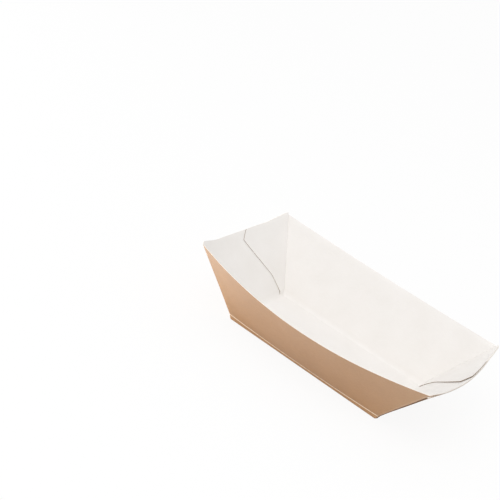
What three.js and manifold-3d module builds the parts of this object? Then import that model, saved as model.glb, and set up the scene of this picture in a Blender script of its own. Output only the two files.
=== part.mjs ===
// Takeaway food tray folded and glued from one sheet of paperboard, lengths in millimetres.
// X runs along the long walls, -Y is the near wall, +Z is up and the base rests on z = 0.
import * as THREE from 'three';
import { mergeVertices } from 'three/addons/utils/BufferGeometryUtils.js';
import Module from 'manifold-3d';

// Sheet and folds
const BOARD = 0.45;
const FOLD_PER_BOARD = 2.3;
const FOLD_REACH = BOARD * FOLD_PER_BOARD;

// Base and flared walls, outside, with the glued end layers counted in
const BASE_LENGTH = 140.5;
const BASE_WIDTH = 80;
const RIM_LENGTH = 210;
const RIM_WIDTH = 127;
const EAR_HEIGHT = 55.7;

// How much further the middle of each wall leans out than its ends
const NEAR_LEAN = THREE.MathUtils.degToRad(14.9);
const FAR_LEAN = THREE.MathUtils.degToRad(1.5);
const END_LEAN = THREE.MathUtils.degToRad(7.6);

// Pressed crease line above the base
const CREASE_HEIGHT = 4.25;
const CREASE_DIP = 1.1;
const CREASE_RUN_SIDE = 1.07;
const CREASE_RUN_END = 1.82;
const CREASE_HALF_WIDTH = 0.45;
const CREASE_DEPTH = 0.14;

// Cut edges, measured down the wall from the line through the ear tips
const SIDE_DROP = 1.3;
const PANEL_DROP = 2.6;
const FLAP_ABOVE_PANEL = 0.5;
const EAR_TIP_RISE = 0.6;
const EAR_TIP_INSET = 3;
const EAR_LENGTH = 24;

// End panel glued outside the flaps: its side edges' distance from the corner folds
const EAR_TIP_TO_PANEL = 0.3;
const PANEL_GAP_RIM = EAR_TIP_INSET + EAR_TIP_TO_PANEL;
const PANEL_GAP_BASE = 0.9;
const PANEL_CORNER = 5;
const PANEL_CORNER_STEPS = [0, 0.04, 0.16, 0.36, 0.64, 1];

// Far glue flap on the inside: shares of the end's width and of the wall's height
const FLAP_FOOT_SHARE = 0.085;
const FLAP_KINK_SHARE = 0.205;
const FLAP_KINK_HEIGHT = 0.265;
const FLAP_WIDE_SHARE = 0.48;
const FLAP_WIDE_HEIGHT = 0.84;
const FLAP_TOP_SHARE = 0.43;
const FLAP_FOOT = 0.75;
const FLAP_BELOW_EAR = 0.3;
const FLAP_LIFT_START = 0.45;
const FLAP_LIFT_CURVE = 1.5;
const RIGHT_FLAP_LIFT = 0.6;
const LEFT_FLAP_LIFT = 0;

// Layers of board between the outside of the flap layer and a face of the far flap
const FLAP_HIDDEN_FACE = 0.7;
const FLAP_SHOWN_FACE = 2;
const FLAP_ROOT = 0.85;

// Mesh steps
const SIDE_STEPS = 22;
const END_STEPS = 14;
const CORNER_STEPS = 3;
const FOLD_STEPS = 4;
const WALL_STEPS = 6;
const FLAP_STEPS_ACROSS = 12;
const FLAP_STEPS_UP = 16;

// Distance between points that measure a slope, and distance under which two points are one
const NEARBY = 0.5;
const SAME = 1e-6;

const UP = new THREE.Vector3(0, 0, 1);
const vec = (x, y, z) => new THREE.Vector3(x, y, z);
const mix = (a, b, f) => a + (b - a) * f;
const middle = (s) => 1 - s * s;

// Quadratic curve that rounds the corner at c between a and b.
function rounded(a, c, b, f) {
  const left = a.clone().lerp(c, f);
  const right = c.clone().lerp(b, f);
  return left.lerp(right, f);
}

// End layers stand outside the side walls' corner folds, so the folds are set in by this much.
const END_WALL_RISE = EAR_HEIGHT - CREASE_HEIGHT;
const END_WALL_RUN = (RIM_LENGTH - BASE_LENGTH) / 2 - CREASE_RUN_END;
const PANEL_SHIFT = BOARD * Math.hypot(END_WALL_RISE, END_WALL_RUN) / END_WALL_RISE;
const CORNER = {
  base: vec(BASE_LENGTH / 2 - PANEL_SHIFT, BASE_WIDTH / 2, 0),
  crease: vec(
    BASE_LENGTH / 2 - PANEL_SHIFT + CREASE_RUN_END,
    BASE_WIDTH / 2 + CREASE_RUN_SIDE,
    CREASE_HEIGHT,
  ),
  rim: vec(RIM_LENGTH / 2 - PANEL_SHIFT, RIM_WIDTH / 2, EAR_HEIGHT),
};

// A wall: which way it faces, the axis it runs along, and its lean.
function makeWall(out, along, lean, creaseRun) {
  const across = (p) => Math.abs(p.dot(out));
  const run = (p) => Math.abs(p.dot(along));
  const rise = CORNER.rim.z - CORNER.crease.z;
  const flare = across(CORNER.rim) - across(CORNER.crease);
  return {
    out,
    along,
    lean,
    across,
    run,
    angle: Math.atan2(rise, flare),
    bandAngle: Math.atan2(CREASE_HEIGHT, creaseRun),
    slant: Math.hypot(rise, flare),
  };
}

const NEAR = makeWall(vec(0, -1, 0), vec(1, 0, 0), NEAR_LEAN, CREASE_RUN_SIDE);
const RIGHT = makeWall(vec(1, 0, 0), vec(0, 1, 0), END_LEAN, CREASE_RUN_END);
const FAR = makeWall(vec(0, 1, 0), vec(-1, 0, 0), FAR_LEAN, CREASE_RUN_SIDE);
const LEFT = makeWall(vec(-1, 0, 0), vec(0, -1, 0), END_LEAN, CREASE_RUN_END);
const WALLS = [NEAR, RIGHT, FAR, LEFT];

// Point on the base edge, the crease or the ear line of a wall, s from -1 to 1 along it.
function edgePoint(wall, level, s) {
  const point = wall.along.clone().multiplyScalar(s * wall.run(CORNER[level]));
  if (level === 'base') return point.addScaledVector(wall.out, wall.across(CORNER.base));
  const lean = wall.lean * middle(s);
  const height = CREASE_HEIGHT - CREASE_DIP * middle(s);
  const foot = wall.across(CORNER.base) + height / Math.tan(wall.bandAngle - lean);
  point.addScaledVector(wall.out, foot).addScaledVector(UP, height);
  if (level === 'crease') return point;
  point.addScaledVector(wall.out, wall.slant * Math.cos(wall.angle - lean));
  return point.addScaledVector(UP, wall.slant * Math.sin(wall.angle - lean));
}

// Distance of a column from the nearer corner fold, measured at the ear line.
const fromFold = (wall, s) => (1 - Math.abs(s)) * wall.run(CORNER.rim);

// Depth of the flaps' cut edge below the ear line, at a distance from the fold.
function flapDrop(distance) {
  const flat = PANEL_DROP - FLAP_ABOVE_PANEL;
  if (distance < EAR_TIP_INSET) return mix(SIDE_DROP, -EAR_TIP_RISE, distance / EAR_TIP_INSET);
  const f = Math.min(1, (distance - EAR_TIP_INSET) / (EAR_LENGTH - EAR_TIP_INSET));
  return mix(-EAR_TIP_RISE, flat, f);
}

// Depth of the end panel's cut edge, with its rounded corner.
function panelDrop(distance) {
  const inside = distance - PANEL_GAP_RIM;
  if (inside >= PANEL_CORNER) return PANEL_DROP;
  const reach = PANEL_CORNER - Math.max(0, inside);
  return PANEL_DROP + PANEL_CORNER - Math.sqrt(PANEL_CORNER ** 2 - reach ** 2);
}

// One column of the sheet: its edge points, outward direction and the drops of its cut edges.
function column(wall, at, drop, panel) {
  const base = at('base');
  return {
    start: base.clone().addScaledVector(wall.out, -FOLD_REACH),
    base,
    crease: at('crease'),
    rim: at('rim'),
    out: wall.out.clone(),
    drop,
    panel,
  };
}

function sideColumns(wall) {
  const columns = [];
  for (let i = 0; i <= SIDE_STEPS; i++) {
    const at = (level) => {
      const inset = FOLD_REACH / wall.run(CORNER[level]);
      return edgePoint(wall, level, mix(inset - 1, 1 - inset, i / SIDE_STEPS));
    };
    columns.push(column(wall, at, SIDE_DROP, null));
  }
  return columns;
}

// Distances from the corner fold at which an end gets a column, as [at the rim, at the base].
function endStations() {
  const edge = [PANEL_GAP_RIM, FOLD_REACH + PANEL_GAP_BASE];
  const tip = mix(FOLD_REACH, edge[1], (EAR_TIP_INSET - FOLD_REACH) / (edge[0] - FOLD_REACH));
  const stations = [[FOLD_REACH, FOLD_REACH], [EAR_TIP_INSET, tip]];
  for (const share of PANEL_CORNER_STEPS) {
    const step = PANEL_CORNER * share;
    stations.push([edge[0] + step, edge[1] + step]);
  }
  return stations;
}

function endColumn(wall, distances, sign, panel) {
  const [rimDistance, baseDistance] = distances;
  const share = (level) => {
    const size = wall.run(CORNER[level]);
    const rise = CORNER[level].z / CORNER.rim.z;
    return sign * (1 - mix(baseDistance, rimDistance, rise) / size);
  };
  const at = (level) => edgePoint(wall, level, share(level));
  const distance = fromFold(wall, share('rim'));
  return column(wall, at, flapDrop(distance), panel ? panelDrop(distance) : null);
}

function endColumns(wall) {
  const stations = endStations();
  const last = stations[stations.length - 1];
  const half = wall.run(CORNER.rim);
  const halfBase = wall.run(CORNER.base);
  const inner = [[EAR_LENGTH, EAR_LENGTH * halfBase / half]];
  const stepsToMiddle = END_STEPS / 2;
  for (let i = 1; i <= stepsToMiddle; i++) {
    const f = i / stepsToMiddle;
    inner.push([mix(EAR_LENGTH, half, f), mix(inner[0][1], halfBase, f)]);
  }
  const between = inner.filter((pair) => pair[0] > last[0]);
  const all = [...stations, ...between];
  const edge = 2;
  const first = all.map((pair, i) => endColumn(wall, pair, -1, i >= edge));
  const second = all.slice(0, -1).map((pair, i) => endColumn(wall, pair, 1, i >= edge)).reverse();
  return [...first, ...second];
}

// Columns that round the fold between one wall and the next.
function cornerColumns(wall, next) {
  const columns = [];
  for (let i = 1; i < CORNER_STEPS; i++) {
    const f = i / CORNER_STEPS;
    const at = (level) => {
      const s = 1 - FOLD_REACH / wall.run(CORNER[level]);
      const t = FOLD_REACH / next.run(CORNER[level]) - 1;
      const tip = edgePoint(wall, level, 1);
      return rounded(edgePoint(wall, level, s), tip, edgePoint(next, level, t), f);
    };
    const side = wall === NEAR || wall === FAR ? wall : next;
    const ear = flapDrop(FOLD_REACH);
    const fold = side === wall ? mix(SIDE_DROP, ear, f) : mix(ear, SIDE_DROP, f);
    const made = column(wall, at, fold, null);
    made.start.copy(edgePoint(wall, 'base', 1));
    made.start.addScaledVector(wall.out, -FOLD_REACH).addScaledVector(next.out, -FOLD_REACH);
    made.out.lerp(next.out, f).normalize();
    columns.push(made);
  }
  return columns;
}

function allColumns() {
  const columns = [];
  WALLS.forEach((wall, i) => {
    const isSide = wall === NEAR || wall === FAR;
    columns.push(...(isSide ? sideColumns(wall) : endColumns(wall)));
    columns.push(...cornerColumns(wall, WALLS[(i + 1) % WALLS.length]));
  });
  return columns;
}

// Outer profile of one column from the base up to its cut edge.
function profile(col, shift) {
  const base = col.base.clone().addScaledVector(col.out, shift);
  const crease = col.crease.clone().addScaledVector(col.out, shift);
  const rim = col.rim.clone().addScaledVector(col.out, shift);
  const band = crease.clone().sub(base).normalize();
  const wall = rim.clone().sub(crease);
  const slant = wall.length();
  wall.normalize();
  const inward = new THREE.Vector3().crossVectors(band, tangentOf(col)).normalize();
  const start = col.start.clone().addScaledVector(col.out, shift);
  const end = base.clone().addScaledVector(band, FOLD_REACH);
  const rows = [];
  for (let i = 0; i <= FOLD_STEPS; i++) rows.push(rounded(start, base, end, i / FOLD_STEPS));
  rows.push(crease.clone().addScaledVector(band, -CREASE_HALF_WIDTH));
  rows.push(crease.clone().addScaledVector(inward, CREASE_DEPTH));
  const top = slant - (col.panel === null ? col.drop + FLAP_ABOVE_PANEL : col.panel);
  for (let i = 0; i <= WALL_STEPS; i++) {
    const along = mix(CREASE_HALF_WIDTH, top, i / WALL_STEPS);
    rows.push(crease.clone().addScaledVector(wall, along));
  }
  rows.push(crease.clone().addScaledVector(wall, slant - col.drop));
  return rows;
}

// Horizontal direction along the wall, to the left of its outward direction.
const tangentOf = (col) => new THREE.Vector3().crossVectors(UP, col.out);

// Normals of the folded sheet from its neighbouring points.
function sheetNormals(grid) {
  const count = grid.length;
  return grid.map((rows, i) => rows.map((point, j) => {
    if (j === 0) return vec(0, 0, -1);
    const before = grid[(i + count - 1) % count][j];
    const after = grid[(i + 1) % count][j];
    const below = rows[j - 1];
    const above = rows[Math.min(j + 1, rows.length - 1)];
    const across = after.clone().sub(before);
    return across.cross(above.clone().sub(below)).normalize();
  }));
}

// Closed section of each column: up the outside, over the cut edges and down the inside.
function sections(columns) {
  const grid = columns.map((col) => profile(col, 0));
  const normals = sheetNormals(grid);
  const list = [];
  columns.forEach((col, i) => {
    const inner = grid[i].map((p, j) => p.clone().addScaledVector(normals[i][j], -BOARD));
    inner.reverse();
    const plain = [...grid[i].slice(0, -1), grid[i].at(-2), grid[i].at(-1), ...inner];
    if (col.panel === null) {
      list.push(plain);
      return;
    }
    const panel = profile(col, PANEL_SHIFT);
    const layered = [...panel.slice(0, -1), grid[i].at(-2), grid[i].at(-1), ...inner];
    const firstOfPanel = columns[i - 1].panel === null;
    const lastOfPanel = columns[(i + 1) % columns.length].panel === null;
    if (firstOfPanel) list.push(plain);
    list.push(layered);
    if (lastOfPanel) list.push(plain);
  });
  return list;
}

// Collects triangles, leaving out those that have no area.
function makeMesh() {
  const points = [];
  const add = (a, b, c) => {
    if (a.distanceTo(b) < SAME || b.distanceTo(c) < SAME || c.distanceTo(a) < SAME) return;
    points.push(a, b, c);
  };
  return {
    points,
    triangle: add,
    quad(a, b, c, d) {
      add(a, b, c);
      add(a, c, d);
    },
  };
}

function addCap(mesh, loop, faceUp) {
  const contour = loop.filter((p, i) => p.distanceTo(loop.at(i - 1)) > SAME);
  const flat = contour.map((p) => new THREE.Vector2(p.x, p.y));
  for (const [a, b, c] of THREE.ShapeUtils.triangulateShape(flat, [])) {
    const corners = [contour[a], contour[b], contour[c]];
    if (!faceUp) corners.reverse();
    mesh.triangle(...corners);
  }
}

function sheetMesh() {
  const mesh = makeMesh();
  const list = sections(allColumns());
  list.forEach((section, i) => {
    const next = list[(i + 1) % list.length];
    for (let j = 0; j + 1 < section.length; j++) {
      mesh.quad(section[j], next[j], next[j + 1], section[j + 1]);
    }
  });
  addCap(mesh, list.map((section) => section[0]), false);
  addCap(mesh, list.map((section) => section.at(-1)), true);
  return mesh.points;
}

// Point on the right end's flap layer, w from -1 at the base edge past 0 at the crease to 1.
function endSurface(distance, w) {
  const at = (level) => {
    const half = RIGHT.run(CORNER[level]);
    return edgePoint(RIGHT, level, 1 - distance(half) / half);
  };
  if (w < 0) return at('crease').lerp(at('base'), -w);
  return at('crease').lerp(at('rim'), w);
}

// Share of the end's width that the far flap covers at a height.
function flapShare(w) {
  if (w < FLAP_KINK_HEIGHT) {
    const f = Math.max(0, w) / FLAP_KINK_HEIGHT;
    return mix(FLAP_FOOT_SHARE, FLAP_KINK_SHARE, f);
  }
  const f = (w - FLAP_KINK_HEIGHT) / (FLAP_WIDE_HEIGHT - FLAP_KINK_HEIGHT);
  return mix(FLAP_KINK_SHARE, FLAP_WIDE_SHARE, Math.min(1, f));
}

// Height of the far flap's cut edge for a share of its own width.
function flapTop(f) {
  const chamfer = FLAP_TOP_SHARE / FLAP_WIDE_SHARE;
  const height = (share) => {
    const distance = share * FLAP_WIDE_SHARE * 2 * RIGHT.run(CORNER.rim);
    return 1 - (flapDrop(Math.max(distance, EAR_TIP_INSET)) + FLAP_BELOW_EAR) / RIGHT.slant;
  };
  if (f <= chamfer) return height(f);
  return mix(height(chamfer), FLAP_WIDE_HEIGHT, (f - chamfer) / (1 - chamfer));
}

// Grid of points on the far flap at a depth under the outside of the flap layer.
function flapGrid(depthAt) {
  const root = BOARD * FLAP_ROOT;
  const grid = [];
  for (let i = 0; i <= FLAP_STEPS_ACROSS; i++) {
    const f = i / FLAP_STEPS_ACROSS;
    const rows = [];
    for (let j = 0; j <= FLAP_STEPS_UP; j++) {
      const w = mix(-FLAP_FOOT, flapTop(f), j / FLAP_STEPS_UP);
      const distance = (half) => mix(root, flapShare(w) * 2 * half, f);
      const point = endSurface(distance, w);
      const beside = endSurface((half) => distance(half) + NEARBY, w);
      const above = endSurface(distance, w + NEARBY / RIGHT.slant);
      const outward = above.sub(point).cross(beside.sub(point)).normalize();
      rows.push(point.addScaledVector(outward, -depthAt(f, w)));
    }
    grid.push(rows);
  }
  return grid;
}

// Lift of the flap's free corner off the end.
function flapLift(lift, f, w) {
  const across = Math.max(0, (f - FLAP_LIFT_START) / (1 - FLAP_LIFT_START));
  return lift * across ** FLAP_LIFT_CURVE * Math.max(0, w);
}

function flapMesh(lift, mirror) {
  const hidden = flapGrid((f, w) => BOARD * FLAP_HIDDEN_FACE + flapLift(lift, f, w));
  const shown = flapGrid((f, w) => BOARD * FLAP_SHOWN_FACE + flapLift(lift, f, w));
  const mesh = makeMesh();
  const across = hidden.length - 1;
  const up = hidden[0].length - 1;
  for (let i = 0; i < across; i++) {
    for (let j = 0; j < up; j++) {
      mesh.quad(hidden[i][j], hidden[i][j + 1], hidden[i + 1][j + 1], hidden[i + 1][j]);
      mesh.quad(shown[i][j], shown[i + 1][j], shown[i + 1][j + 1], shown[i][j + 1]);
    }
    mesh.quad(hidden[i][0], hidden[i + 1][0], shown[i + 1][0], shown[i][0]);
    mesh.quad(shown[i][up], shown[i + 1][up], hidden[i + 1][up], hidden[i][up]);
  }
  for (let j = 0; j < up; j++) {
    mesh.quad(shown[0][j], shown[0][j + 1], hidden[0][j + 1], hidden[0][j]);
    mesh.quad(hidden[across][j], hidden[across][j + 1], shown[across][j + 1], shown[across][j]);
  }
  if (!mirror) return mesh.points;
  return mesh.points.map((p) => vec(-p.x, p.y, p.z)).reverse();
}

function toGeometry(points) {
  const geometry = new THREE.BufferGeometry().setFromPoints(points);
  return mergeVertices(geometry, SAME * 10);
}

const wasm = await Module();
wasm.setup();

function toSolid(points) {
  const geometry = toGeometry(points);
  const mesh = new wasm.Mesh({
    numProp: 3,
    vertProperties: new Float32Array(geometry.attributes.position.array),
    triVerts: new Uint32Array(geometry.index.array),
  });
  mesh.merge();
  return new wasm.Manifold(mesh);
}

function fromSolid(solid) {
  const mesh = solid.getMesh();
  const geometry = new THREE.BufferGeometry();
  geometry.setAttribute('position', new THREE.BufferAttribute(mesh.vertProperties, 3));
  geometry.setIndex(new THREE.BufferAttribute(mesh.triVerts, 1));
  geometry.computeVertexNormals();
  return geometry;
}

function trayGeometry() {
  const sheet = toSolid(sheetMesh());
  const rightFlap = toSolid(flapMesh(RIGHT_FLAP_LIFT, false));
  const leftFlap = toSolid(flapMesh(LEFT_FLAP_LIFT, true));
  return centred(fromSolid(sheet.add(rightFlap).add(leftFlap)));
}

// Puts the origin on the floor under the middle of the tray's outline.
function centred(geometry) {
  geometry.computeBoundingBox();
  const centre = geometry.boundingBox.getCenter(new THREE.Vector3());
  return geometry.translate(-centre.x, -centre.y, 0);
}

const kraft = new THREE.MeshStandardMaterial({ color: 0xc3a184, roughness: 0.85, metalness: 0 });
const tray = new THREE.Mesh(trayGeometry(), kraft);
tray.name = 'tray';

const group = new THREE.Group();
group.name = 'paper_food_tray';
group.add(tray);

export default group;
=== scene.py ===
"""Takeaway food tray folded and glued from one sheet of paperboard, on a plain studio floor."""

import math

import bmesh
import bpy
import numpy as np
from mathutils import Matrix


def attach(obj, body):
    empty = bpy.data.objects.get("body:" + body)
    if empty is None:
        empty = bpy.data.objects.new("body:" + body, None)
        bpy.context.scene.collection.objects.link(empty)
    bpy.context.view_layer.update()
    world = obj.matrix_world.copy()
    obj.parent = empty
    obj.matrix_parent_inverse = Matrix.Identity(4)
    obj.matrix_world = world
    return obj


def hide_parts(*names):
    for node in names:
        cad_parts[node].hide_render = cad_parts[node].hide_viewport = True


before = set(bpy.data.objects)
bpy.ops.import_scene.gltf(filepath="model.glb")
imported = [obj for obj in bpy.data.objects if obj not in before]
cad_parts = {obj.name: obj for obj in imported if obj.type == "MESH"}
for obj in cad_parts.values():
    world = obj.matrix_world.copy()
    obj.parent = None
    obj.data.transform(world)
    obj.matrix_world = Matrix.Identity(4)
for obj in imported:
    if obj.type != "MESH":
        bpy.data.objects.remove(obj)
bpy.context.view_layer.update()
BODY = "root"
NODE = "tray"

bl_info = {
    "name": "Paper food tray",
    "version": (1, 0, 0),
    "blender": (4, 5, 0),
    "location": "View3D > Sidebar > Food tray",
    "description": "Builds a folded paperboard food tray and its studio stage",
    "category": "Add Mesh",
}

MM = 0.001
UP = np.array([0.0, 0.0, 1.0])

# The side of the board that a face shows; the last two are edges painted dark as shade
PRINT, LINING, CUT, GAP_SHADE, FLAP_EDGE_SHADE = 0, 1, 2, 3, 4

# Folds and pressed creases
FOLD_PER_BOARD = 2.3
CREASE_RUN_SIDE = 1.07 * MM
CREASE_RUN_END = 1.82 * MM
CREASE_HALF_WIDTH = 0.45 * MM
CREASE_DEPTH = 0.14 * MM
INSIDE_FOLD_RUN = 2.4 * MM
INSIDE_FOLD_RISE = 1.6 * MM

# Corner ears and the end panels' outline
EAR_TIP_INSET = 3 * MM
EAR_TIP_RISE = 0.54 * MM
EAR_LENGTH = 24 * MM
FLAP_ABOVE_PANEL = 0.5 * MM
PANEL_GAP_RIM = 3.3 * MM
PANEL_GAP_BASE = 0.9 * MM
PANEL_CORNER = 5 * MM
PANEL_EDGE_LIFT = 0.75 * MM
PANEL_EDGE_REACH = 10 * MM
PANEL_EDGE_CURVE = 1.5

# Inside glue flaps: where they start, and their depth in boards under the flap layer's outside
FLAP_FOOT = 0.75
FLAP_BELOW_EAR = 0.3 * MM
FLAP_LIFT_START = 0.45
FLAP_LIFT_CURVE = 1.5
FLAP_HIDDEN_FACE = 0.9
FLAP_SHOWN_FACE = 2.0
FLAP_ROOT = 0.85
# Share across the flap from which its top edge is painted dark as shade
FLAP_SHADE_START = 0.4
NEARBY = 0.5 * MM

# Ripple of the board: how far up the wall it grows to its full depth, and its noise
RIPPLE_RISE = 15 * MM
RIPPLE_SEED = 3.0
RIPPLE_DETAIL = 1.0
RIPPLE_ROUGHNESS = 0.35
RIPPLE_RANGE = (0.25, 0.75)

# Surface of the board: sizes of its fibres and clouds, depth of its relief, pale lines along the
# outside creases and folds, and a painted shade line along the inside crease
PRINT_FIBRE, PRINT_CLOUD, PRINT_FLECK, PRINT_BREAKUP = 0.7 * MM, 16 * MM, 0.9 * MM, 1.1 * MM
LINING_FIBRE, LINING_CLOUD = 0.8 * MM, 24 * MM
PULP_LAYER, PULP_FIBRE = 0.12 * MM, 0.6 * MM
PRINT_RELIEF, LINING_RELIEF, PULP_RELIEF = 0.02 * MM, 0.015 * MM, 0.03 * MM
CREASE_PALE_LINE = (0.3 * MM, 0.7 * MM)
FOLD_PALE_LINE = (0.3 * MM, 0.9 * MM)
LINING_CREASE_SHADE = (0.15 * MM, 0.7 * MM)
RIDGE_SHARE = 0.006
RIDGE_HEIGHT = 7

# Mesh steps
SIDE_STEPS = 72
END_STEPS = 44
CORNER_STEPS = 6
PANEL_CORNER_STEPS = 9
FOLD_STEPS = 6
WALL_STEPS = 20
FLAP_STEPS_ACROSS = 40
FLAP_STEPS_UP = 48
SHARP_ANGLE = math.radians(38)
SAME_POINT = MM * 1e-3

# Stage: the camera is pitched and rolled so that the tray stands level
WHITE = (1, 1, 1, 1)
FLOOR_HALF = 6
FLOOR_PAINT = (0.95, 0.95, 0.95, 1)
SENSOR_WIDTH, LENS, CLIP_START = 36, 85.82, 0.01
CAMERA_PLACE = (0.27274, -0.77433, 0.45315)
CAMERA_RIGHT = (0.77151, 0.54086, 0.33502)
CAMERA_UP = (-0.50723, 0.20504, 0.83707)
CAMERA_BACK = (0.38404, -0.81574, 0.43253)

# Each lamp's setting, size, place and target, in metres
LAMPS = {
    "top_lamp": ("top", (1.2, 1.2), (-0.15, -0.75, 1.2), (0, 0, 0.03)),
    "left_lamp": ("left", (0.5, 0.024), (-0.98, -0.13, 0.014), (0, 0, 0.014)),
    "front_lamp": ("front", (0.9, 0.02), (0.2, -1.0, 0.012), (0, 0, 0.014)),
}


def linear(hex_colour):
    """Linear colour of a hex triple."""
    parts = [int(hex_colour[i : i + 2], 16) / 255 for i in (0, 2, 4)]
    return tuple(c / 12.92 if c <= 0.04045 else ((c + 0.055) / 1.055) ** 2.4 for c in parts)


def length_setting(name, description, millimetres):
    return bpy.props.FloatProperty(
        name=name, description=description, default=millimetres * MM, unit="LENGTH", precision=5
    )


def angle_setting(name, description, degrees):
    return bpy.props.FloatProperty(
        name=name, description=description, default=math.radians(degrees), unit="ROTATION"
    )


def share_setting(name, description, share):
    return bpy.props.FloatProperty(
        name=name, description=description, default=share, min=0, max=1, subtype="FACTOR"
    )


def strength_setting(name, description, strength):
    return bpy.props.FloatProperty(name=name, description=description, default=strength, min=0)


def colour_setting(name, description, hex_colour):
    return bpy.props.FloatVectorProperty(
        name=name, description=description, default=linear(hex_colour), subtype="COLOR", size=3
    )


class FoodTrayShape(bpy.types.PropertyGroup):
    """Sizes of the folded tray."""

    board: length_setting("Board", "Thickness of the paperboard", 0.45)
    base_length: length_setting("Base length", "Length of the base", 140.5)
    base_width: length_setting("Base width", "Width of the base", 80)
    rim_length: length_setting("Rim length", "Distance between the ends at the corners", 210)
    rim_width: length_setting("Rim width", "Distance between the long walls at the corners", 127)
    ear_height: length_setting("Ear height", "Height of the corner ears", 55.7)
    crease_height: length_setting("Crease height", "Height of the crease at the corners", 4.25)
    crease_dip: length_setting("Crease dip", "How much lower the crease is at mid wall", 1.1)
    side_drop: length_setting("Long rim drop", "Drop of the long cut edges from the ears", 1.3)
    panel_drop: length_setting("End rim drop", "Drop of the end panels' cut edges", 2.6)
    near_lean: angle_setting("Near wall lean", "Extra lean at the middle of the near wall", 14.9)
    far_lean: angle_setting("Far wall lean", "Extra lean at the middle of the far wall", 1.5)
    end_lean: angle_setting("End lean", "Extra lean at the middle of each end", 7.6)


class FoodTrayFlaps(bpy.types.PropertyGroup):
    """Outline of the glue flaps that show inside the ends."""

    foot_share: share_setting("Foot", "Share of the end covered at the base", 0.085)
    kink_share: share_setting("Kink", "Share of the end covered at the kink", 0.205)
    kink_height: share_setting("Kink height", "Height of the kink up the end", 0.265)
    wide_share: share_setting("Widest", "Share of the end covered at the widest point", 0.48)
    wide_height: share_setting("Widest height", "Height of the widest point", 0.84)
    top_share: share_setting("Top", "Share of the end covered at the rim", 0.43)
    right_lift: length_setting("Right lift", "Lift of the right flap's free corner", 0.6)
    left_lift: length_setting("Left lift", "Lift of the left flap's free corner", 0)


class FoodTrayFinish(bpy.types.PropertyGroup):
    """Colours and surface of the board."""

    kraft: colour_setting("Kraft print", "Brown print on the outside", "B28960")
    kraft_fibre: colour_setting("Kraft fibre", "Darker fibres in the brown print", "99714A")
    lining: colour_setting("Lining", "White inside of the tray", "F5F2EF")
    # Colour of the lining's random clouding, also painted along the inside crease as shade
    lining_cloud_and_shade: colour_setting("Lining shade", "Clouding of the white inside", "EBE7E2")
    cut: colour_setting("Cut edge", "Pulp that shows at the cut edges", "F1ECE5")
    cut_fibre: colour_setting("Cut fibre", "Darker layers of the cut edges", "DDD2C4")
    # Paler colour that the print takes along the creases and folds
    crease_pale: colour_setting("Crease scuff", "Print cracked pale along the creases", "F2DFC6")
    # Dark colour of the end panels' side edges: painted shade of the gap over the glued ears
    gap: colour_setting("Glue gap", "Panel edges that stand over the glued ears", "5E4630")
    # Colour painted on the inside flaps' free edges as their shade
    flap_edge: colour_setting("Flap edge", "Shaded free edges of the inside flaps", "AC9C8B")
    ripple_depth: length_setting("Ripple depth", "Depth of the board's slow ripple", 0.25)
    ripple_length: length_setting("Ripple length", "Length of the board's slow ripple", 36)


class FoodTrayStage(bpy.types.PropertyGroup):
    """Floor and lights."""

    sky: strength_setting("Sky", "Strength of the world", 0.8)
    top: strength_setting("Top", "Top light in watts", 5.6)
    left: strength_setting("Left", "Low left light in watts", 12)
    front: strength_setting("Front", "Low front light in watts", 1.2)
    floor_white: share_setting("Floor white", "Share of plain white in the floor's look", 0.9)


def mix(a, b, share):
    return a + (b - a) * share


def unit(vector):
    return vector / np.linalg.norm(vector)


def rounded(start, corner, end, share):
    """Point on the quadratic curve that rounds a corner."""
    return mix(mix(start, corner, share), mix(corner, end, share), share)


class Wall:
    """One wall: which way it faces, the axis it runs along, and its lean."""

    def __init__(self, tray, out, lean, crease_run):
        self.tray = tray
        self.out = np.array(out, float)
        self.along = np.cross(UP, self.out)
        self.lean = lean
        crease, rim = tray.corner["crease"], tray.corner["rim"]
        flare = self.across(rim) - self.across(crease)
        self.angle = math.atan2(rim[2] - crease[2], flare)
        self.slant = math.hypot(rim[2] - crease[2], flare)
        self.band_angle = math.atan2(tray.shape.crease_height, crease_run)

    def across(self, point):
        return abs(float(point @ self.out))

    def run(self, level):
        return abs(float(self.tray.corner[level] @ self.along))

    def point(self, level, s):
        """Point on the base edge, the crease or the ear line, s from -1 to 1 along the wall."""
        shape = self.tray.shape
        point = self.along * s * self.run(level)
        point = point + self.out * self.across(self.tray.corner["base"])
        if level == "base":
            return point
        lean = self.lean * (1 - s * s)
        height = shape.crease_height - shape.crease_dip * (1 - s * s)
        point = point + self.out * height / math.tan(self.band_angle - lean) + UP * height
        if level == "crease":
            return point
        slope = self.angle - lean
        return point + (self.out * math.cos(slope) + UP * math.sin(slope)) * self.slant


class Column:
    """One column of the sheet, from the base edge to the cut edge."""

    def __init__(self, tray, wall, at, drop, panel=None, from_fold=0.0):
        self.base, self.crease, self.rim = at("base"), at("crease"), at("rim")
        self.out = wall.out
        self.start = self.base - wall.out * tray.fold
        self.drop = drop
        self.panel = panel
        self.from_fold = from_fold
        self.on_end = not tray.is_side(wall)


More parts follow.
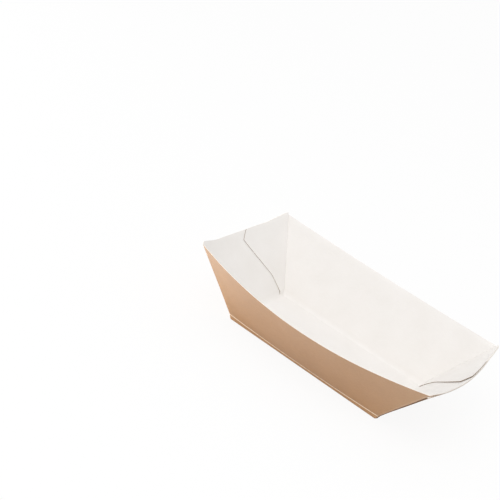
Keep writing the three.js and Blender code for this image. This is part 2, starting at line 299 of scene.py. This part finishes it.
class Tray:
    """The folded sheet's corners, walls and cut edges, worked out from the sizes."""

    def __init__(self, shape, flaps):
        self.shape = shape
        self.flaps = flaps
        self.board = shape.board
        self.fold = shape.board * FOLD_PER_BOARD
        rise = shape.ear_height - shape.crease_height
        run = (shape.rim_length - shape.base_length) / 2 - CREASE_RUN_END
        self.panel_shift = shape.board * math.hypot(rise, run) / rise
        x, y = shape.base_length / 2 - self.panel_shift, shape.base_width / 2
        rim_x = shape.rim_length / 2 - self.panel_shift
        self.corner = {
            "base": np.array([x, y, 0]),
            "crease": np.array([x + CREASE_RUN_END, y + CREASE_RUN_SIDE, shape.crease_height]),
            "rim": np.array([rim_x, shape.rim_width / 2, shape.ear_height]),
        }
        self.near = Wall(self, (0, -1, 0), shape.near_lean, CREASE_RUN_SIDE)
        self.right = Wall(self, (1, 0, 0), shape.end_lean, CREASE_RUN_END)
        self.far = Wall(self, (0, 1, 0), shape.far_lean, CREASE_RUN_SIDE)
        self.left = Wall(self, (-1, 0, 0), shape.end_lean, CREASE_RUN_END)
        self.walls = [self.near, self.right, self.far, self.left]

    def is_side(self, wall):
        return wall in (self.near, self.far)

    def ear_drop(self, distance):
        """Depth of the flaps' cut edge below the ear line at a distance from the fold."""
        if distance < EAR_TIP_INSET:
            return mix(self.shape.side_drop, -EAR_TIP_RISE, distance / EAR_TIP_INSET)
        share = min(1, (distance - EAR_TIP_INSET) / (EAR_LENGTH - EAR_TIP_INSET))
        return mix(-EAR_TIP_RISE, self.shape.panel_drop - FLAP_ABOVE_PANEL, share)

    def panel_drop(self, distance):
        """Depth of the end panel's cut edge, with its rounded corner."""
        inside = distance - PANEL_GAP_RIM
        if inside >= PANEL_CORNER:
            return self.shape.panel_drop
        reach = PANEL_CORNER - max(0, inside)
        return self.shape.panel_drop + PANEL_CORNER - math.sqrt(PANEL_CORNER**2 - reach**2)

    def side_columns(self, wall):
        columns = []
        for i in range(SIDE_STEPS + 1):
            share = i / SIDE_STEPS

            def at(level):
                inset = self.fold / wall.run(level)
                return wall.point(level, mix(inset - 1, 1 - inset, share))

            from_fold = min(share, 1 - share) * 2 * wall.run("rim")
            columns.append(Column(self, wall, at, self.shape.side_drop, None, from_fold))
        return columns

    def end_stations(self, wall):
        """Distances from the corner fold of an end's columns, at the rim and at the base."""
        rim_edge, base_edge = PANEL_GAP_RIM, self.fold + PANEL_GAP_BASE
        share = (EAR_TIP_INSET - self.fold) / (rim_edge - self.fold)
        tip = mix(self.fold, base_edge, share)
        stations = [(self.fold, self.fold), (EAR_TIP_INSET, tip)]
        for i in range(PANEL_CORNER_STEPS + 1):
            step = PANEL_CORNER * (i / PANEL_CORNER_STEPS) ** 2
            stations.append((rim_edge + step, base_edge + step))
        half, half_base = wall.run("rim"), wall.run("base")
        first = (rim_edge + PANEL_CORNER, base_edge + PANEL_CORNER)
        for i in range(1, END_STEPS // 2 + 1):
            share = i / (END_STEPS // 2)
            stations.append((mix(first[0], half, share), mix(first[1], half_base, share)))
        return stations

    def end_column(self, wall, station, sign, panel):
        def share(level):
            height = self.corner[level][2] / self.corner["rim"][2]
            return sign * (1 - mix(station[1], station[0], height) / wall.run(level))

        def at(level):
            return wall.point(level, share(level))

        drop = self.panel_drop(station[0]) if panel else None
        return Column(self, wall, at, self.ear_drop(station[0]), drop, station[0])

    def end_columns(self, wall):
        stations = self.end_stations(wall)
        first = [self.end_column(wall, s, -1, i > 1) for i, s in enumerate(stations)]
        second = [self.end_column(wall, s, 1, i > 1) for i, s in enumerate(stations[:-1])]
        return first + second[::-1]

    def corner_columns(self, wall, after):
        """Columns that round the fold between one wall and the next."""
        columns = []
        for i in range(1, CORNER_STEPS):
            share = i / CORNER_STEPS

            def at(level):
                s = 1 - self.fold / wall.run(level)
                t = self.fold / after.run(level) - 1
                tip = wall.point(level, 1)
                return rounded(wall.point(level, s), tip, after.point(level, t), share)

            ends = [self.shape.side_drop, self.ear_drop(self.fold)]
            if not self.is_side(wall):
                ends.reverse()
            column = Column(self, wall, at, mix(ends[0], ends[1], share))
            column.start = wall.point("base", 1) - (wall.out + after.out) * self.fold
            column.out = unit(mix(wall.out, after.out, share))
            column.on_end = False
            columns.append(column)
        return columns

    def columns(self):
        columns = []
        for i, wall in enumerate(self.walls):
            columns += self.side_columns(wall) if self.is_side(wall) else self.end_columns(wall)
            columns += self.corner_columns(wall, self.walls[(i + 1) % len(self.walls)])
        return columns

    def profile(self, column, shift):
        """Outer points of one column, and how far each is above the crease along the board."""
        base, crease, rim, start = (
            point + column.out * shift
            for point in (column.base, column.crease, column.rim, column.start)
        )
        band, wall = unit(crease - base), unit(rim - crease)
        band_length = np.linalg.norm(crease - base)
        slant = np.linalg.norm(rim - crease)
        inward = unit(np.cross(band, np.cross(UP, column.out)))
        end = base + band * self.fold
        rows, above = [], []
        for i in range(FOLD_STEPS + 1):
            share = i / FOLD_STEPS
            rows.append(rounded(start, base, end, share))
            above.append(mix(-1, 1, share) * self.fold - band_length)
        rows += [crease - band * CREASE_HALF_WIDTH, crease + inward * CREASE_DEPTH]
        above += [-CREASE_HALF_WIDTH, 0]
        top = slant - (column.drop + FLAP_ABOVE_PANEL if column.panel is None else column.panel)
        for i in range(WALL_STEPS + 1):
            along = mix(CREASE_HALF_WIDTH, top, i / WALL_STEPS)
            rows.append(crease + wall * along)
            above.append(along)
        rows.append(crease + wall * (slant - column.drop))
        above.append(slant - column.drop)
        return np.array(rows), np.array(above)

    def end_point(self, distance, w):
        """Point on the right end's flap layer, w from -1 at the base past 0 at the crease to 1."""

        def at(level):
            half = self.right.run(level)
            return self.right.point(level, 1 - distance(half) / half)

        return mix(at("crease"), at("base"), -w) if w < 0 else mix(at("crease"), at("rim"), w)

    def flap_share(self, w):
        """Share of the end's width that the inside flap covers at a height: straight cuts."""
        flaps = self.flaps

        def half(height):
            return mix(self.right.run("crease"), self.right.run("rim"), height)

        corners = [(0, flaps.foot_share), (flaps.kink_height, flaps.kink_share)]
        corners.append((flaps.wide_height, flaps.wide_share))
        heights = [height for height, share in corners]
        reaches = [(1 - 2 * share) * half(height) for height, share in corners]
        height = min(max(w, 0), flaps.wide_height)
        return (1 - float(np.interp(height, heights, reaches)) / half(height)) / 2

    def past_hidden_flap(self, column, rows, above):
        """How far past the near wall's hidden flap the points of an end lie, in end widths."""
        if not column.on_end:
            return np.ones(len(rows))
        wall = self.right
        heights = [-self.shape.crease_height, 0, wall.slant]
        half = np.interp(above, heights, [wall.run(level) for level in ("base", "crease", "rim")])
        share = np.array([self.flap_share(a / wall.slant) for a in above])
        return (1 + rows[:, 1] / half) / 2 - share

    def flap_top(self, f):
        """Height of the inside flap's cut edge for a share of its own width."""
        chamfer = self.flaps.top_share / self.flaps.wide_share

        def height(share):
            distance = share * self.flaps.wide_share * 2 * self.right.run("rim")
            drop = self.ear_drop(max(distance, EAR_TIP_INSET)) + FLAP_BELOW_EAR
            return 1 - drop / self.right.slant

        if f <= chamfer:
            return height(f)
        return mix(height(chamfer), self.flaps.wide_height, (f - chamfer) / (1 - chamfer))


def sheet_normals(grid):
    """Outward normals of the folded sheet, from each point's neighbours."""
    across = np.roll(grid, -1, axis=0) - np.roll(grid, 1, axis=0)
    above = np.concatenate([grid[:, 1:], grid[:, -1:]], axis=1)
    below = np.concatenate([grid[:, :1], grid[:, :-1]], axis=1)
    normals = np.cross(across, above - below)
    normals /= np.linalg.norm(normals, axis=2, keepdims=True)
    normals[:, 0] = -UP
    return normals


class Board:
    """Collects the faces of a closed board, with what each point and face needs stored."""

    def __init__(self):
        self.points, self.faces, self.sides, self.outs, self.places = [], [], [], [], []

    def add_rows(self, points, outs, places):
        """Adds one row of points and returns their numbers."""
        first = len(self.points)
        self.points += [tuple(p) for p in points]
        self.outs += [tuple(o) for o in outs]
        self.places += [tuple(p) for p in places]
        return list(range(first, len(self.points)))

    def face(self, corners, side):
        self.faces.append(corners)
        self.sides.append(side)

    def mesh(self, name, shift):
        made = bmesh.new()
        out_layer = made.verts.layers.float_vector.new("board_out")
        place_layer = made.verts.layers.float_vector.new("board_place")
        side_layer = made.faces.layers.int.new("board_side")
        verts = []
        for point, out, place in zip(self.points, self.outs, self.places):
            vert = made.verts.new(np.add(point, shift))
            vert[out_layer] = out
            vert[place_layer] = place
            verts.append(vert)
        for corners, side in zip(self.faces, self.sides):
            face = made.faces.new([verts[c] for c in corners])
            face[side_layer] = side
            face.smooth = True
        bmesh.ops.remove_doubles(made, verts=made.verts, dist=SAME_POINT)
        wide = [f for f in made.faces if len(f.verts) > 4]
        bmesh.ops.triangulate(made, faces=wide)
        mesh = bpy.data.meshes.new(name)
        made.to_mesh(mesh)
        made.free()
        mesh.set_sharp_from_angle(angle=SHARP_ANGLE)
        return mesh


def board_weight(above):
    """How freely the board ripples: not at all at the base, fully a little way up the wall."""
    share = np.clip(above / RIPPLE_RISE, 0, 1)
    return (share * share * (3 - 2 * share))[:, None]


def outer_layers(tray, columns, i, rows, above):
    """Outsides of a column: the ear's, the end panel's over it, or both where the panel ends."""
    column = columns[i]
    if column.panel is None:
        return [rows]
    panel = tray.profile(column, tray.panel_shift)[0] + panel_lift(column, above)
    if columns[i - 1].panel is None:
        return [rows, panel]
    if columns[(i + 1) % len(columns)].panel is None:
        return [panel, rows]
    return [panel]


def around_edge(outside, ear, inside):
    """Values of one section: up the outside, over the ear's cut edge and down the inside."""
    return np.concatenate([outside[:-1], ear[-2:], inside[::-1]])


def folded_sheet(tray):
    """The whole sheet as one closed board, column by column around the tray."""
    columns = tray.columns()
    profiles = [tray.profile(column, 0) for column in columns]
    grid = np.array([rows for rows, above in profiles])
    normals = sheet_normals(grid)
    board = Board()
    sections = []
    for i, column in enumerate(columns):
        rows, above = profiles[i]
        inner = eased_inside(rows - normals[i] * tray.board, column, above, tray)
        outs = normals[i] * board_weight(above)
        past = tray.past_hidden_flap(column, rows, above)
        heights, outs, past = (around_edge(v, v, v) for v in (above, outs, past))
        places = [(column.from_fold, height, p) for height, p in zip(heights, past)]
        for layer in outer_layers(tray, columns, i, rows, above):
            points = around_edge(layer, rows, inner)
            sections.append((board.add_rows(points, outs, places), i))
    sew_sections(board, sections, len(grid[0]))
    return board


def panel_lift(column, above):
    """How far the end panel's glued side edge springs off the ear, most of all at the rim."""
    from_edge = max(0, column.from_fold - PANEL_GAP_RIM) / PANEL_EDGE_REACH
    lift = PANEL_EDGE_LIFT * max(0, 1 - from_edge) ** 2
    height = np.clip(above / above[-1], 0, 1)
    return column.out * (lift * height**PANEL_EDGE_CURVE)[:, None]


def eased_inside(inner, column, above, tray):
    """Inside of one column, with the fold at its foot eased as soft board takes it."""
    eased = inner.copy()
    last = int(np.searchsorted(above, INSIDE_FOLD_RISE))
    flat = tray.corner["base"] - np.array([1, 1, 0]) * INSIDE_FOLD_RUN
    start = np.clip(column.base, -flat, flat) + UP * tray.board
    lowest = inner[FOLD_STEPS]
    slope = unit(inner[last] - lowest)
    corner = lowest - slope * (lowest[2] - tray.board) / slope[2]
    for j in range(last):
        eased[j] = rounded(start, corner, inner[last], j / last)
    return eased


def side_above(j, outer, panel_edge):
    """Side of the board above point j of a section, whose outside has this many points."""
    # The end panel's side edge is painted dark as the shade in its gap
    if panel_edge and j < outer - 1:
        return GAP_SHADE
    if j in (outer - 2, outer):
        return CUT
    return PRINT if j < outer else LINING


def sew_sections(board, sections, outer):
    """Faces between neighbouring sections, then the two faces of the base."""
    for k, (section, column) in enumerate(sections):
        after, next_column = sections[(k + 1) % len(sections)]
        for j in range(len(section) - 1):
            side = side_above(j, outer, column == next_column)
            board.face([section[j], after[j], after[j + 1], section[j + 1]], side)
    board.face([section[0] for section, column in sections][::-1], PRINT)
    board.face([section[-1] for section, column in sections], LINING)


def flap_grid(tray, boards_deep, lift):
    """Points on the right inside flap at a depth under the flap layer's outside."""
    points, outs, places = [], [], []
    for i in range(FLAP_STEPS_ACROSS + 1):
        f = i / FLAP_STEPS_ACROSS
        for j in range(FLAP_STEPS_UP + 1):
            w = mix(-FLAP_FOOT, tray.flap_top(f), j / FLAP_STEPS_UP)

            def distance(half):
                return mix(tray.board * FLAP_ROOT, tray.flap_share(w) * 2 * half, f)

            point = tray.end_point(distance, w)
            beside = tray.end_point(lambda half: distance(half) + NEARBY, w)
            above = tray.end_point(distance, w + NEARBY / tray.right.slant)
            outward = unit(np.cross(above - point, beside - point))
            across = max(0, (f - FLAP_LIFT_START) / (1 - FLAP_LIFT_START))
            raised = lift * across**FLAP_LIFT_CURVE * max(0, w)
            height = w * tray.right.slant
            points.append(point - outward * (tray.board * boards_deep + raised))
            outs.append(outward * board_weight(np.array([height]))[0])
            places.append((distance(tray.right.run("rim")), height, 1))
    return np.array(points), np.array(outs), np.array(places)


def glue_flap(board, tray, lift, mirror):
    """Adds one closed inside flap to a board."""
    flip = np.array([-1, 1, 1]) if mirror else np.ones(3)
    layers = []
    for deep in (FLAP_HIDDEN_FACE, FLAP_SHOWN_FACE):
        points, outs, places = flap_grid(tray, deep, lift)
        numbers = board.add_rows(points * flip, outs * flip, places)
        layers.append(np.array(numbers).reshape(FLAP_STEPS_ACROSS + 1, FLAP_STEPS_UP + 1))
    hidden, shown = layers
    across, up = FLAP_STEPS_ACROSS, FLAP_STEPS_UP
    chamfer = tray.flaps.top_share / tray.flaps.wide_share
    shaded_from = int((FLAP_SHADE_START if lift > 0 else chamfer) * across)

    def face(a, b, c, d, side):
        corners = [int(n) for n in (a, b, c, d)]
        board.face(corners[::-1] if mirror else corners, side)

    for i in range(across):
        for j in range(up):
            k, m = i + 1, j + 1
            face(hidden[i, j], hidden[i, m], hidden[k, m], hidden[k, j], PRINT)
            face(shown[i, j], shown[k, j], shown[k, m], shown[i, m], LINING)
        face(hidden[i, 0], hidden[i + 1, 0], shown[i + 1, 0], shown[i, 0], CUT)
        # The free top edge is painted dark as shade from that share on
        top_side = FLAP_EDGE_SHADE if i >= shaded_from else CUT
        face(shown[i, up], shown[i + 1, up], hidden[i + 1, up], hidden[i, up], top_side)
    for j in range(up):
        m = j + 1
        face(shown[0, j], shown[0, m], hidden[0, m], hidden[0, j], CUT)
        # The flap's far side edge is painted dark as shade
        face(hidden[across, j], hidden[across, m], shown[across, m], shown[across, j], FLAP_EDGE_SHADE)


class Value:
    """A shader value: an expression on it adds the Math nodes."""

    def __init__(self, tree, socket):
        self.tree = tree
        self.socket = socket

    def math(self, operation, *terms):
        node = self.tree.node("ShaderNodeMath", {"operation": operation}, dict(enumerate(terms)))
        return node.value()

    def __add__(self, other):
        return self.math("ADD", self, other)

    def __sub__(self, other):
        return self.math("SUBTRACT", self, other)

    def __rsub__(self, other):
        return self.math("SUBTRACT", other, self)

    def __mul__(self, other):
        return self.math("MULTIPLY", self, other)

    __radd__ = __add__
    __rmul__ = __mul__

    def __abs__(self):
        return self.math("ABSOLUTE", self)

    def above(self, low, high):
        """0 up to low, 1 from high, and smooth between."""
        settings = {"interpolation_type": "SMOOTHSTEP"}
        inputs = {"Value": self, "From Min": low, "From Max": high}
        return self.tree.node("ShaderNodeMapRange", settings, inputs).value()


class Node:
    """A node of a tree, whose outputs are taken as values."""

    def __init__(self, tree, made):
        self.tree = tree
        self.made = made

    def value(self, output=0):
        return Value(self.tree, self.made.outputs[output])


class NodeTree:
    """A node tree with one call that adds any node."""

    def __init__(self, tree):
        self.tree = tree

    def node(self, kind, settings=None, inputs=None):
        made = self.tree.nodes.new(kind)
        for name, setting in (settings or {}).items():
            setattr(made, name, setting)
        for name, given in (inputs or {}).items():
            if isinstance(given, Value):
                self.tree.links.new(given.socket, made.inputs[name])
            else:
                made.inputs[name].default_value = given
        return Node(self, made)

    def noise(self, place, size, detail=3, roughness=0.55):
        inputs = {"Vector": place, "Scale": 1 / size, "Detail": detail, "Roughness": roughness}
        return self.node("ShaderNodeTexNoise", {}, inputs).value("Fac")

    def stretched(self, place, scale):
        inputs = {"Vector": place, "Scale": scale}
        return self.node("ShaderNodeMapping", {}, inputs).value()

    def blend(self, share, a, b):
        """Mix of two colours, which have inputs 6 and 7 and output 2 of the node."""
        settings = {"data_type": "RGBA", "blend_type": "MIX"}
        return self.node("ShaderNodeMix", settings, {0: share, 6: a, 7: b}).value(2)


def colour(rgb):
    return (*rgb, 1.0)


def new_material(name):
    material = bpy.data.materials.new(name)
    material.use_nodes = True
    material.node_tree.nodes.clear()
    return material, NodeTree(material.node_tree)


def object_place(tree):
    return tree.node("ShaderNodeTexCoord").value("Object")


def board_places(tree):
    """Distances from the corner fold, above the crease and past the hidden flap."""
    stored = tree.node("ShaderNodeAttribute", {"attribute_name": "board_place"}).value("Vector")
    parts = tree.node("ShaderNodeSeparateXYZ", {}, {0: stored})
    return [parts.value(axis) for axis in range(3)]


def line_mask(distance, inner, outer):
    """1 on a line and 0 past its edge."""
    return 1 - abs(distance).above(inner, outer)


def finish_board(tree, base, roughness, relief, relief_depth, coat=None):
    """Adds the board's shader, with its relief as a bump."""
    inputs = {"Strength": 1.0, "Distance": relief_depth, "Height": relief}
    bump = tree.node("ShaderNodeBump", {}, inputs).value()
    inputs = {"Base Color": base, "Roughness": roughness, "Normal": bump, **(coat or {})}
    shader = tree.node("ShaderNodeBsdfPrincipled", {}, inputs)
    tree.node("ShaderNodeOutputMaterial", {}, {"Surface": shader.value()})


def kraft_print(finish):
    """Brown print over kraft fibres, satin, and paler along the creases and folds."""
    material, tree = new_material("kraft_print")
    place = object_place(tree)
    from_fold, above, past_flap = board_places(tree)
    fibres = tree.noise(tree.stretched(place, (0.28, 1, 1)), PRINT_FIBRE, 4, 0.62)
    clouds = tree.noise(place, PRINT_CLOUD, 4)
    flecks = tree.noise(tree.stretched(place, (0.35, 1, 1)), PRINT_FLECK, 2).above(0.66, 0.74)
    dark = fibres * 0.75 + clouds * 0.5 - 0.4
    base = tree.blend(dark, colour(finish.kraft), colour(finish.kraft_fibre))
    base = tree.blend(flecks * 0.28, base, colour(finish.kraft_fibre))
    breakup = tree.noise(place, PRINT_BREAKUP, 3).above(0.3, 0.62)
    # Paler along the crease and the corner folds
    crease = line_mask(above, *CREASE_PALE_LINE) * (0.6 + 0.4 * breakup)
    folds = line_mask(from_fold, *FOLD_PALE_LINE) * (0.1 * breakup)
    base = tree.blend(crease * 0.95 + folds, base, colour(finish.crease_pale))
    roughness = 0.36 + fibres * 0.2 + crease * 0.3
    ridge = past_flap.above(-RIDGE_SHARE, RIDGE_SHARE) * RIDGE_HEIGHT
    relief = fibres + clouds * 0.5 + breakup * crease - ridge
    coat = {"Coat Weight": 0.8 - crease * 0.6, "Coat Roughness": 0.22}
    finish_board(tree, base, roughness, relief, PRINT_RELIEF, coat)
    return material


def white_lining(finish):
    """Uncoated white inside, softly clouded, with its fibres just visible and a painted shade line
    along the crease.
    """
    material, tree = new_material("white_lining")
    place = object_place(tree)
    _, above, _ = board_places(tree)
    fibres = tree.noise(tree.stretched(place, (0.3, 1, 1)), LINING_FIBRE, 4, 0.6)
    clouds = tree.noise(place, LINING_CLOUD, 4)
    shade = fibres * 0.5 + clouds * 0.9 - 0.45
    base = tree.blend(shade, colour(finish.lining), colour(finish.lining_cloud_and_shade))
    # A faint darker line along the inside crease: painted shade
    crease = line_mask(above, *LINING_CREASE_SHADE)
    base = tree.blend(crease * 0.15, base, colour(finish.lining_cloud_and_shade))
    roughness = 0.55 + fibres * 0.2
    finish_board(tree, base, roughness, fibres + clouds * 0.4, LINING_RELIEF)
    return material


def cut_edge(finish):
    """Pale pulp where the board is cut, in thin layers."""
    return pulp("cut_edge", finish.cut, finish.cut_fibre)


def gap_edge(finish):
    """Cut edges against the next layer, painted dark as the shade in the gap between the layers.
    """
    return pulp("gap_edge", finish.gap, finish.kraft_fibre)


def flap_edge(finish):
    """Free edges of the inside flaps, painted dark as the shade where they stand off the end."""
    return pulp("flap_edge", finish.flap_edge, finish.gap)


def pulp(name, plain, fibre):
    """Rough pulp in thin layers, in two colours."""
    material, tree = new_material(name)
    place = object_place(tree)
    layers = tree.noise(tree.stretched(place, (0.2, 0.2, 1)), PULP_LAYER, 3, 0.6)
    fibres = tree.noise(place, PULP_FIBRE, 3)
    share = layers * 0.5 + fibres * 0.4 - 0.2
    base = tree.blend(share, colour(plain), colour(fibre))
    finish_board(tree, base, 0.8 + fibres * 0.15, layers + fibres, PULP_RELIEF)
    return material


def tray_materials(finish):
    makers = {
        "kraft_print": kraft_print,
        "white_lining": white_lining,
        "cut_edge": cut_edge,
        "gap_edge": gap_edge,
        "flap_edge": flap_edge,
    }
    return [bpy.data.materials.get(name) or make(finish) for name, make in makers.items()]


def number_input(tree, name, default):
    made = tree.interface.new_socket(name=name, in_out="INPUT", socket_type="NodeSocketFloat")
    made.default_value = default


def ripple_tree(finish, materials):
    """Slow ripple of the board, inwards only, then the material of each side of the board."""
    tree = bpy.data.node_groups.new("board_ripple", "GeometryNodeTree")
    tree.interface.new_socket(name="Board", in_out="INPUT", socket_type="NodeSocketGeometry")
    number_input(tree, "Ripple depth", finish.ripple_depth)
    number_input(tree, "Ripple length", finish.ripple_length)
    number_input(tree, "Seed", RIPPLE_SEED)
    tree.interface.new_socket(name="Board", in_out="OUTPUT", socket_type="NodeSocketGeometry")
    nodes = NodeTree(tree)
    given = nodes.node("NodeGroupInput")
    depth, length, seed = (given.value(n) for n in ("Ripple depth", "Ripple length", "Seed"))
    settings = {"data_type": "FLOAT_VECTOR"}
    out = nodes.node("GeometryNodeInputNamedAttribute", settings, {"Name": "board_out"}).value()
    scale = nodes.node("ShaderNodeMath", {"operation": "DIVIDE"}, {0: 1.0, 1: length}).value()
    inputs = {"W": seed, "Scale": scale, "Detail": RIPPLE_DETAIL, "Roughness": RIPPLE_ROUGHNESS}
    wave = nodes.node("ShaderNodeTexNoise", {"noise_dimensions": "4D"}, inputs).value("Fac")
    inward = wave.above(*RIPPLE_RANGE) * depth * -1
    inputs = {0: out, "Scale": inward}
    offset = nodes.node("ShaderNodeVectorMath", {"operation": "SCALE"}, inputs).value()
    inputs = {"Geometry": given.value("Board"), "Offset": offset}
    shape = nodes.node("GeometryNodeSetPosition", {}, inputs).value()
    shape = nodes.node("GeometryNodeRealizeInstances", {}, {"Geometry": shape}).value()
    settings, inputs = {"data_type": "INT"}, {"Name": "board_side"}
    stored = nodes.node("GeometryNodeInputNamedAttribute", settings, inputs).value()
    same = {"data_type": "INT", "operation": "EQUAL"}
    for side, material in enumerate(materials):
        # Inputs 2 and 3 of the node are the whole numbers that it compares
        chosen = nodes.node("FunctionNodeCompare", same, {2: stored, 3: side}).value()
        inputs = {"Geometry": shape, "Selection": chosen, "Material": material}
        shape = nodes.node("GeometryNodeSetMaterial", {}, inputs).value()
    nodes.node("NodeGroupOutput", {}, {"Board": shape})
    return tree


def rippled(piece, finish, materials):
    """Runs the ripple tree on a piece and keeps its result as a plain mesh."""
    tree = bpy.data.node_groups.get("board_ripple") or ripple_tree(finish, materials)
    modifier = piece.modifiers.new("board_ripple", "NODES")
    modifier.node_group = tree
    values = {"Ripple depth": finish.ripple_depth, "Ripple length": finish.ripple_length}
    for item in tree.interface.items_tree:
        if item.name in values:
            modifier[item.identifier] = values[item.name]
    evaluated = piece.evaluated_get(bpy.context.evaluated_depsgraph_get())
    mesh = bpy.data.meshes.new_from_object(evaluated)
    piece.modifiers.remove(modifier)
    piece.data = mesh


def add_piece(context, name, mesh):
    """Adds a finished piece of the tray and ties it to the part's body."""
    piece = bpy.data.objects.new(name, mesh)
    context.collection.objects.link(piece)
    finish = context.scene.food_tray_finish
    rippled(piece, finish, tray_materials(finish))
    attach(piece, BODY)
    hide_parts(NODE)


def middle_shift(board):
    """Move that puts the outline's middle over the origin."""
    points = np.array(board.points)
    middle = (points.min(axis=0) + points.max(axis=0)) / 2
    return np.array([-middle[0], -middle[1], 0])


class FOODTRAY_OT_sheet(bpy.types.Operator):
    """Add the folded sheet: base, long walls, ends and corner ears"""

    bl_idname = "mesh.food_tray_sheet"
    bl_label = "Folded sheet"

    def execute(self, context):
        tray = Tray(context.scene.food_tray_shape, context.scene.food_tray_flaps)
        board = folded_sheet(tray)
        add_piece(context, "folded_sheet", board.mesh("folded_sheet", middle_shift(board)))
        return {"FINISHED"}


class FOODTRAY_OT_flaps(bpy.types.Operator):
    """Add the far wall's glue flaps, which show inside the ends"""

    bl_idname = "mesh.food_tray_flaps"
    bl_label = "Inside glue flaps"

    def execute(self, context):
        flaps = context.scene.food_tray_flaps
        tray = Tray(context.scene.food_tray_shape, flaps)
        board = Board()
        glue_flap(board, tray, flaps.right_lift, False)
        glue_flap(board, tray, flaps.left_lift, True)
        shift = middle_shift(folded_sheet(tray))
        add_piece(context, "inside_flaps", board.mesh("inside_flaps", shift))
        return {"FINISHED"}


def add_lamp(context, name, size, power, matrix):
    lamp = bpy.data.lights.new(name, "AREA")
    lamp.shape = "ELLIPSE"
    lamp.size, lamp.size_y = size
    lamp.energy = power
    made = bpy.data.objects.new(name, lamp)
    made.matrix_world = matrix
    context.collection.objects.link(made)


def placement(place, right, up, back):
    matrix = Matrix.Identity(4)
    for column, axis in enumerate((right, up, back, place)):
        for row in range(3):
            matrix[row][column] = axis[row]
    return matrix


def aimed(place, target):
    """Placement of a lamp that points at a target."""
    back = unit(np.subtract(place, target))
    right = unit(np.cross(UP, back))
    return placement(place, right, np.cross(back, right), back)


def add_floor(context, white):
    """Floor that takes a soft shadow and looks mostly plain white to the camera."""
    made = bmesh.new()
    bmesh.ops.create_grid(made, x_segments=1, y_segments=1, size=FLOOR_HALF)
    mesh = bpy.data.meshes.new("studio_floor")
    made.to_mesh(mesh)
    made.free()
    floor = bpy.data.objects.new("studio_floor", mesh)
    context.collection.objects.link(floor)
    material, tree = new_material("studio_floor")
    seen = tree.node("ShaderNodeLightPath").value("Is Camera Ray")
    plain = tree.node("ShaderNodeBsdfDiffuse", {}, {"Color": FLOOR_PAINT}).value()
    glow = tree.node("ShaderNodeEmission", {}, {"Color": WHITE, "Strength": 1.0}).value()
    mixed = tree.node("ShaderNodeMixShader", {}, {0: seen * white, 1: plain, 2: glow}).value()
    tree.node("ShaderNodeOutputMaterial", {}, {"Surface": mixed})
    mesh.materials.append(material)


def add_world(context, strength):
    """Even light from all around, with a plain white backdrop behind the tray."""
    world = bpy.data.worlds.new("soft_studio")
    world.use_nodes = True
    world.node_tree.nodes.clear()
    tree = NodeTree(world.node_tree)
    sky, backdrop = (
        tree.node("ShaderNodeBackground", {}, {"Color": WHITE, "Strength": light}).value()
        for light in (strength, 1.0)
    )
    seen = tree.node("ShaderNodeLightPath").value("Is Camera Ray")
    mixed = tree.node("ShaderNodeMixShader", {}, {0: seen, 1: sky, 2: backdrop}).value()
    tree.node("ShaderNodeOutputWorld", {}, {"Surface": mixed})
    context.scene.world = world


def add_camera(context):
    lens = bpy.data.cameras.new("picture_camera")
    lens.sensor_width = SENSOR_WIDTH
    lens.lens = LENS
    lens.clip_start = CLIP_START
    camera = bpy.data.objects.new("picture_camera", lens)
    camera.matrix_world = placement(CAMERA_PLACE, CAMERA_RIGHT, CAMERA_UP, CAMERA_BACK)
    context.collection.objects.link(camera)
    context.scene.camera = camera


class FOODTRAY_OT_stage(bpy.types.Operator):
    """Add the floor, the soft lights and the camera"""

    bl_idname = "scene.food_tray_stage"
    bl_label = "Studio stage"

    def execute(self, context):
        stage = context.scene.food_tray_stage
        add_camera(context)
        add_floor(context, stage.floor_white)
        add_world(context, stage.sky)
        for name, (setting, size, place, target) in LAMPS.items():
            add_lamp(context, name, size, getattr(stage, setting), aimed(place, target))
        context.scene.view_settings.view_transform = "Standard"
        return {"FINISHED"}


class FOODTRAY_PT_panel(bpy.types.Panel):
    """Settings and buttons of the food tray"""

    bl_idname = "FOODTRAY_PT_panel"
    bl_label = "Food tray"
    bl_space_type = "VIEW_3D"
    bl_region_type = "UI"
    bl_category = "Food tray"

    def draw(self, context):
        for group in SETTINGS:
            settings = getattr(context.scene, group)
            for name in SETTINGS[group].__annotations__:
                self.layout.prop(settings, name)
        for operator in OPERATORS:
            self.layout.operator(operator.bl_idname)


SETTINGS = {
    "food_tray_shape": FoodTrayShape,
    "food_tray_flaps": FoodTrayFlaps,
    "food_tray_finish": FoodTrayFinish,
    "food_tray_stage": FoodTrayStage,
}
OPERATORS = (FOODTRAY_OT_stage, FOODTRAY_OT_sheet, FOODTRAY_OT_flaps)


def register():
    for kind in (*SETTINGS.values(), *OPERATORS, FOODTRAY_PT_panel):
        bpy.utils.register_class(kind)
    for name, kind in SETTINGS.items():
        setattr(bpy.types.Scene, name, bpy.props.PointerProperty(type=kind))


def unregister():
    for name in SETTINGS:
        delattr(bpy.types.Scene, name)
    for kind in (FOODTRAY_PT_panel, *OPERATORS, *SETTINGS.values()):
        bpy.utils.unregister_class(kind)


def main():
    register()
    bpy.ops.scene.food_tray_stage()
    bpy.ops.mesh.food_tray_sheet()
    bpy.ops.mesh.food_tray_flaps()


if __name__ == "__main__":
    main()
